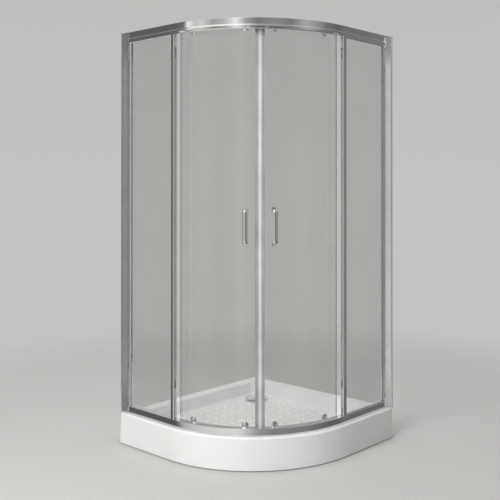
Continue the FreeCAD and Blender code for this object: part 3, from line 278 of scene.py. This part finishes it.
upright_metal = profile_metal("profile_upright", lines=(900, 900, 3))
rail_metal = profile_metal("profile_rail", lines=(3, 3, 1100))
# the milky seals carry a painted highlight along the doors' meeting line, with painted shade beside it
milky_seal = soft_seal("milky_seal", (0.64, 0.63, 0.66), (0.86, 0.85, 0.89), cover=(0.85, 0.95), highlight_width=0.009)
glazing_seal = soft_seal(
    "glazing_seal", (0.40, 0.41, 0.45), (0.50, 0.51, 0.55), cover=(0.97, 1.0), gloss=0.3,
)
# matt stud acrylic, lighter than the tray's gloss acrylic as painted light for the studs' lit tops
grip_and_painted_light = moulded(
    "matt_acrylic_painted_light", (0.86, 0.86, 0.85), (0.92, 0.92, 0.915), rough=(0.5, 0.65), grain=700.0, depth=0.1,
)
finishes = {
    "acrylic": sanitary_acrylic(),
    "board": chipboard(),
    "zinc_steel": bright_metal(
        "zinc_plate", (0.42, 0.43, 0.42), (0.62, 0.62, 0.59),
        rough=(0.28, 0.45), lines=(300, 300, 300), depth=0.2,
    ),
    "black_plastic": moulded(
        "black_plastic", (0.018, 0.018, 0.019), (0.035, 0.035, 0.036),
        rough=(0.35, 0.5), grain=1200.0, depth=0.2,
    ),
    "rubber": moulded(
        "rubber", (0.020, 0.020, 0.021), (0.045, 0.045, 0.047), rough=(0.6, 0.8), grain=900.0, depth=0.25,
    ),
    "chrome": bright_metal(
        "chrome", (0.84, 0.845, 0.85), (0.90, 0.905, 0.91), rough=(0.02, 0.05), lines=(60, 60, 60),
    ),
    "profile": upright_metal,
    "glass": clear_glass(),
    "clear_seal": soft_seal(
        "clear_seal", (0.26, 0.27, 0.26), (0.34, 0.35, 0.34), cover=(0.05, 0.10), gloss=0.15,
    ),
    "magnet": moulded(
        "magnet_strip", (0.10, 0.09, 0.09), (0.16, 0.15, 0.15), rough=(0.5, 0.7), grain=900.0, depth=0.15,
    ),
    "white_plastic": moulded(
        "white_plastic", (0.74, 0.74, 0.73), (0.80, 0.80, 0.79), rough=(0.25, 0.4), grain=900.0, depth=0.1,
    ),
    "nylon": moulded(
        "nylon", (0.70, 0.70, 0.67), (0.78, 0.78, 0.75), rough=(0.3, 0.45), grain=1200.0, depth=0.12,
    ),
}
own_finish = {
    "top_rail": rail_metal,
    "bottom_rail": rail_metal,
    "infill_strips": rail_metal,
    "magnet_seal_left": milky_seal,
    "magnet_seal_right": milky_seal,
    "glazing_seal_left": glazing_seal,
    "glazing_seal_right": glazing_seal,
}
for entry in frame["record"]["subparts"]:
    piece = nodes[entry["node"]]
    finish = own_finish.get(entry["node"], finishes[entry["material_slot"]])
    piece.data.materials.clear()
    piece.data.materials.append(finish)


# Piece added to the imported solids


def add_object(name, mesh, finish):
    """An object of the scene, from a mesh built here."""
    made = bpy.data.meshes.new(name)
    mesh.to_mesh(made)
    mesh.free()
    made.materials.append(finish)
    item = bpy.data.objects.new(name, made)
    scene.collection.objects.link(item)
    return item


def piece_from(name, mesh, finish, body):
    """A smooth piece that moves with a body."""
    item = add_object(name, mesh, finish)
    for polygon in item.data.polygons:
        polygon.use_smooth = True
    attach(item, body)


def add_stud(mesh, spot, base):
    """One low round stud with a closed foot at the height of base."""
    radius, height, sides, rings = 0.0135, 0.0030, 20, 4
    angles = [2 * math.pi * k / sides for k in range(sides)]
    neighbours = [(k, (k + 1) % sides) for k in range(sides)]
    loops = []
    for ring in range(rings):
        share = ring / rings
        reach = radius * math.cos(share * math.pi / 2)
        level = base + height * (1 - (1 - share) ** 2)
        loops.append([
            mesh.verts.new((spot.x + reach * math.cos(angle), spot.y + reach * math.sin(angle), level))
            for angle in angles
        ])
    top = mesh.verts.new((spot.x, spot.y, base + height))
    for lower, upper in zip(loops, loops[1:]):
        for k, n in neighbours:
            mesh.faces.new((lower[k], lower[n], upper[n], upper[k]))
    for k, n in neighbours:
        mesh.faces.new((loops[-1][k], loops[-1][n], top))
    mesh.faces.new(list(reversed(loops[0])))


def floor_studs():
    """Anti-slip studs in a square lattice on the basin's floor, clear of its edge and of the waste."""
    half, first, pitch, count = 0.45, 0.152, 0.055, 12
    floor_level, sunk = 0.085, 0.0002
    # the bend is the middle of the tray's rounded corner
    bend, farthest = Vector((-0.1, 0.1)), 0.415
    waste, waste_room = Vector((-0.28, 0.28)), 0.082
    mesh = bmesh.new()
    for i in range(count):
        for j in range(count):
            spot = Vector((-half + first + i * pitch, half - first - j * pitch))
            ahead = spot - bend
            beyond = ahead.length if ahead.x > 0 and ahead.y < 0 else max(ahead.x, -ahead.y)
            if beyond <= farthest and (spot - waste).length >= waste_room:
                add_stud(mesh, spot, floor_level - sunk)
    # the studs take the lighter acrylic: painted light for their lit tops
    piece_from("floor_studs", mesh, grip_and_painted_light, "frame")


floor_studs()


# Stage: pale floor, soft light, pale surroundings

# mirrored light by direction, as (degrees, strength) pairs, for rays near the level, rays that rise,
# rays that rise steeply and rays that fall
NEAR_LEVEL = (
    (-180, 0.50), (-160, 0.40), (-146, 0.12), (-133, 0.17), (-130, 0.70), (-126, 0.70), (-123, 0.25),
    (-112, 0.60), (-104, 0.60), (-90, 0.25), (-76, 0.40), (-66, 0.85), (-60, 0.60), (-57.5, 0.30),
    (-56.7, 0.72), (-54.3, 0.72), (-53, 0.25), (-47, 0.16), (-39.2, 0.14), (-38.4, 0.36), (-36, 0.36),
    (-35, 0.12), (-26, 0.10), (8, 0.45), (16, 0.25), (36, 0.16), (39, 0.34), (43, 0.34), (46, 0.16),
    (95, 0.50), (180, 0.50),
)
RISING = (
    (-180, 0.30), (-165, 0.15), (-138, 0.12), (-126, 0.17), (-121, 1.00), (-112, 0.62), (-104, 0.72),
    (-92, 0.40), (-80, 0.52), (-68, 0.98), (-58, 0.40), (-46, 0.22), (-30, 0.30), (-12, 0.22),
    (4, 0.46), (16, 0.34), (30, 0.18), (44, 0.14), (52, 0.18), (75, 0.22), (100, 0.80), (165, 0.80),
    (180, 0.30),
)
STEEP = (
    (-180, 0.35), (-136, 0.35), (-122, 1.10), (-66, 1.20), (-46, 0.46), (-10, 0.38), (10, 0.60),
    (40, 0.30), (180, 0.35),
)
FALLING = (
    (-180, 0.20), (-136, 0.10), (-124, 0.55), (-100, 0.72), (-66, 0.78), (-46, 0.34), (-30, 0.24),
    (0, 0.22), (36, 0.12), (60, 0.16), (180, 0.20),
)
WARM_GREY = (1.0, 0.975, 0.95)


def looked_at(tree):
    """One for rays from the camera, straight, mirrored or through glass, and nought for light on things."""
    path = tree.nodes.new("ShaderNodeLightPath")
    kinds = ("Is Camera Ray", "Is Glossy Ray", "Is Transmission Ray")
    return largest(tree, *(path.outputs[kind] for kind in kinds))


def mirrored(tree):
    """One for rays thrown back by gloss, nought for rays that went on through glass."""
    path = tree.nodes.new("ShaderNodeLightPath")
    glossy, through = path.outputs["Is Glossy Ray"], path.outputs["Is Transmission Ray"]
    return calculate(tree, "SUBTRACT", glossy, through, clamp=True)


def pale_stone():
    """Fine pale stone that fades into the backdrop further out; metal does not mirror it."""
    fade_start, fade_end = 0.9, 3.2
    made, tree, shader = new_material("pale_floor")
    place = place_in_object(tree)
    speckle = noise(tree, place, scale=120.0, detail=4.0)
    stone = two_tones(tree, speckle, (0.50, 0.495, 0.485), (0.58, 0.575, 0.565))
    tree.links.new(stone, shader.inputs["Base Color"])
    shader.inputs["Roughness"].default_value = 0.8
    far = tree.nodes.new("ShaderNodeVectorMath")
    far.operation = "LENGTH"
    tree.links.new(place, far.inputs[0])
    fade = tree.nodes.new("ShaderNodeMapRange")
    fade.interpolation_type = "SMOOTHSTEP"
    fade.inputs["From Min"].default_value = fade_start
    fade.inputs["From Max"].default_value = fade_end
    tree.links.new(far.outputs["Value"], fade.inputs["Value"])
    faded = calculate(tree, "MULTIPLY", fade.outputs["Result"], looked_at(tree))
    hidden = largest(tree, faded, mirrored(tree))
    nothing = tree.nodes.new("ShaderNodeBsdfTransparent")
    show_instead(tree, blend(tree, hidden, shader.outputs["BSDF"], nothing.outputs["BSDF"]))
    return made


def pale_floor():
    """A wide disc to stand on."""
    mesh = bmesh.new()
    bmesh.ops.create_circle(mesh, cap_ends=True, segments=64, radius=12)
    item = add_object("floor", mesh, pale_stone())


def band(tree, turn, stops):
    """Warm grey light in bands round the enclosure: (degrees, strength) pairs."""
    made = tree.nodes.new("ShaderNodeBackground")
    tones = (((angle + 180) / 360, [strength * part for part in WARM_GREY]) for angle, strength in stops)
    tree.links.new(ramp(tree, turn, *tones), made.inputs["Color"])
    return made.outputs["Background"]


def surroundings():
    """Soft light all round, a pale backdrop to look at, and dark walls with bright panels to mirror."""
    world = bpy.data.worlds.new("studio")
    scene.world = world
    world.use_nodes = True
    tree = world.node_tree
    tree.nodes.clear()
    output = tree.nodes.new("ShaderNodeOutputWorld")
    light = tree.nodes.new("ShaderNodeBackground")
    light.inputs["Color"].default_value = (1.0, 0.99, 0.98, 1)
    light.inputs["Strength"].default_value = 0.31
    direction = tree.nodes.new("ShaderNodeTexCoord")
    split = tree.nodes.new("ShaderNodeSeparateXYZ")
    tree.links.new(direction.outputs["Generated"], split.inputs["Vector"])
    height = split.outputs["Z"]
    backdrop = tree.nodes.new("ShaderNodeBackground")
    pale = two_tones(tree, height, (0.56, 0.55, 0.54), (0.50, 0.49, 0.485), start=0.0, end=0.35)
    tree.links.new(pale, backdrop.inputs["Color"])

    around = calculate(tree, "ARCTAN2", split.outputs["Y"], split.outputs["X"])
    turn = spread(tree, around, 0.0, 1.0, start=-math.pi, end=math.pi)
    rising = spread(tree, height, 0.0, 1.0, start=0.145, end=0.160)
    steep = spread(tree, height, 0.0, 1.0, start=0.34, end=0.60)
    falling = spread(tree, height, 0.0, 1.0, start=-0.235, end=-0.255)
    mirrored_light = band(tree, turn, NEAR_LEVEL)
    for share, stops in ((rising, RISING), (steep, STEEP), (falling, FALLING)):
        mirrored_light = blend(tree, share, mirrored_light, band(tree, turn, stops))

    path = tree.nodes.new("ShaderNodeLightPath")
    straight = largest(tree, path.outputs["Is Camera Ray"], path.outputs["Is Transmission Ray"])
    lit = blend(tree, path.outputs["Is Glossy Ray"], light.outputs["Background"], mirrored_light)
    tree.links.new(blend(tree, straight, lit, backdrop.outputs["Background"]), output.inputs["Surface"])


def lamp(name, spot, target, side, power):
    """A soft square panel of light that is not itself mirrored in glass and metal."""
    data = bpy.data.lights.new(name, "AREA")
    data.shape = "SQUARE"
    data.size = side
    data.energy = power
    item = bpy.data.objects.new(name, data)
    item.location = spot
    item.rotation_euler = (Vector(target) - Vector(spot)).to_track_quat("-Z", "Y").to_euler()
    item.visible_glossy = False
    item.visible_transmission = False
    scene.collection.objects.link(item)


def camera():
    """Camera with a shifted lens. The frame is measured by its height, and the narrower width keeps the
    whole enclosure in view, shift included, when it is looked at from other sides."""
    position = (2.5645, -2.6862, 1.2076)
    yaw, pitch = math.radians(41.253), math.radians(-0.291)
    data = bpy.data.cameras.new("camera")
    data.sensor_fit = "VERTICAL"
    data.sensor_height = 36.0
    data.sensor_width = 26.0
    data.lens = 57.072
    data.shift_x = -0.0833
    data.shift_y = -0.1445
    item = bpy.data.objects.new("camera", data)
    turn = Matrix.Rotation(yaw, 4, "Z") @ Matrix.Rotation(math.pi / 2 - pitch, 4, "X")
    item.matrix_world = Matrix.Translation(position) @ turn
    scene.collection.objects.link(item)
    scene.camera = item


pale_floor()
surroundings()
lamp("key", spot=(0.8, -3.7, 2.4), target=(0.0, 0.0, 0.5), side=2.2, power=132)
lamp("over", spot=(-0.2, 0.2, 4.2), target=(-0.1, 0.1, 0.0), side=2.6, power=95)
camera()
